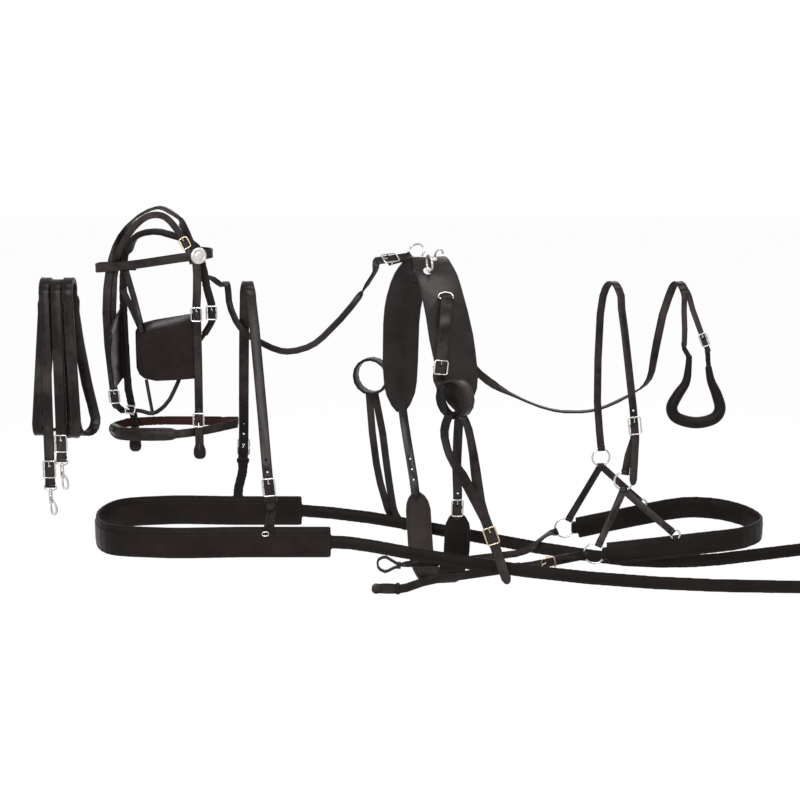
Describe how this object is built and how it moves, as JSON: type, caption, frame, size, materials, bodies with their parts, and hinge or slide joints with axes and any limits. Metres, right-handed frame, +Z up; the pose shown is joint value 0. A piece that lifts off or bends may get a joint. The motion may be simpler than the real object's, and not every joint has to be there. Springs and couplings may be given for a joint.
{
  "type": "driving harness",
  "caption": "Black leather driving harness hung on display: reins, blinkered bridle, breast collar with traces, saddle with girth, crupper and breeching.",
  "frame": {"origin": "centre line of the rail that the set hangs on, at the saddle", "axes": "+X along the rail from the bridle's end to the traces' end, +Y to the off side, away from the viewer, +Z up"},
  "size_m": [1.6093, 0.3452, 0.7627],
  "materials": {
    "black_leather": "semi-gloss bridle leather",
    "padded_leather": "satin leather over padding",
    "patent_leather": "gloss patent",
    "bright_steel": "polished stainless steel",
    "silver_plate": "satin plate with a plain turned design"
  },
  "bodies": {
    "harness": {"backstrap": "black_leather", "bearing_hook": "bright_steel", "bearing_rein": "black_leather", "bearing_rein_buckle": "bright_steel", "bellyband": "black_leather", "bellyband_buckle": "bright_steel", "blinker_near": "patent_leather", "blinker_off": "patent_leather", "breast_collar": "padded_leather", "browband": "black_leather", "cheek_buckle_near": "bright_steel", "cheek_near": "black_leather", "crown_buckle_near": "bright_steel", "crown_buckle_off": "bright_steel", "crown_strap": "black_leather", "crupper_buckle": "bright_steel", "crupper_dock": "padded_leather", "girth": "padded_leather", "girth_buckle": "bright_steel", "hanger_near": "black_leather", "hanger_off": "black_leather", "headpiece": "padded_leather", "hip_buckle_near": "bright_steel", "hip_chape_near": "black_leather", "hip_strap": "black_leather", "holdback_near": "black_leather", "holdback_near_buckle": "bright_steel", "holdback_off": "black_leather", "neck_buckle_near": "bright_steel", "neck_buckle_off": "bright_steel", "neck_strap": "black_leather", "noseband": "padded_leather", "rein_buckle_near": "bright_steel", "rein_buckle_off": "bright_steel", "rein_near": "black_leather", "rein_off": "black_leather", "rosette_near": "silver_plate", "saddle": "black_leather", "seat": "padded_leather", "shaft_tug_near": "black_leather", "shaft_tug_off": "black_leather", "snap_eye_near": "bright_steel", "snap_eye_off": "bright_steel", "terret_near": "bright_steel", "terret_off": "bright_steel", "throat_buckle_near": "bright_steel", "throatlash": "black_leather", "tug_buckle": "bright_steel", "tug_strap_near": "black_leather", "winker_stay": "black_leather"},
    "snap_hook_near": {"snap_hook_near": "bright_steel"},
    "snap_bolt_near": {"snap_bolt_near": "bright_steel"},
    "snap_hook_off": {"snap_hook_off": "bright_steel"},
    "snap_bolt_off": {"snap_bolt_off": "bright_steel"},
    "hip_ring_near": {"hip_ring_near": "bright_steel"},
    "hip_ring_off": {"hip_ring_off": "bright_steel"},
    "seat_ring_near": {"seat_ring_near": "bright_steel"},
    "seat_ring_off": {"seat_ring_off": "bright_steel"},
    "seat_dee_near": {"seat_dee_near": "bright_steel"},
    "seat_dee_off": {"seat_dee_off": "bright_steel"}
  },
  "joints": [
    {"name": "snap_swivel_near", "type": "hinge", "parent": "harness", "child": "snap_hook_near", "pos_m": [-0.761, -0.0282, -0.386], "axis": [0, 0, 1], "continuous": true},
    {"name": "snap_bolt_slide_near", "type": "slide", "parent": "snap_hook_near", "child": "snap_bolt_near", "axis": [0, 0, 1], "range_m": [0, 0.008], "stiffness_N_per_m": 150, "springref_m": -0.002},
    {"name": "snap_swivel_off", "type": "hinge", "parent": "harness", "child": "snap_hook_off", "pos_m": [-0.7365, -0.0246, -0.334], "axis": [0, 0, 1], "continuous": true},
    {"name": "snap_bolt_slide_off", "type": "slide", "parent": "snap_hook_off", "child": "snap_bolt_off", "axis": [0, 0, 1], "range_m": [0, 0.008], "stiffness_N_per_m": 150, "springref_m": -0.002},
    {"name": "hip_ring_near_turn", "type": "hinge", "parent": "harness", "child": "hip_ring_near", "pos_m": [0.383, -0.062, -0.368], "axis": [0.1483, 0.9889, 0], "continuous": true},
    {"name": "hip_ring_off_turn", "type": "hinge", "parent": "harness", "child": "hip_ring_off", "pos_m": [0.354, 0.07, -0.352], "axis": [-0.0995, 0.995, 0], "continuous": true},
    {"name": "seat_ring_near_turn", "type": "hinge", "parent": "harness", "child": "seat_ring_near", "pos_m": [0.325, -0.092, -0.508], "axis": [0.0995, 0.995, 0], "continuous": true},
    {"name": "seat_ring_off_turn", "type": "hinge", "parent": "harness", "child": "seat_ring_off", "pos_m": [0.284, 0.086, -0.508], "axis": [-0.0995, 0.995, 0], "continuous": true},
    {"name": "seat_dee_near_turn", "type": "hinge", "parent": "harness", "child": "seat_dee_near", "pos_m": [0.48194, -0.10489, -0.46476], "axis": [0, 1, 0], "continuous": true},
    {"name": "seat_dee_off_turn", "type": "hinge", "parent": "harness", "child": "seat_dee_off", "pos_m": [0.44444, 0.08594, -0.45489], "axis": [0, 1, 0], "continuous": true}
  ]
}
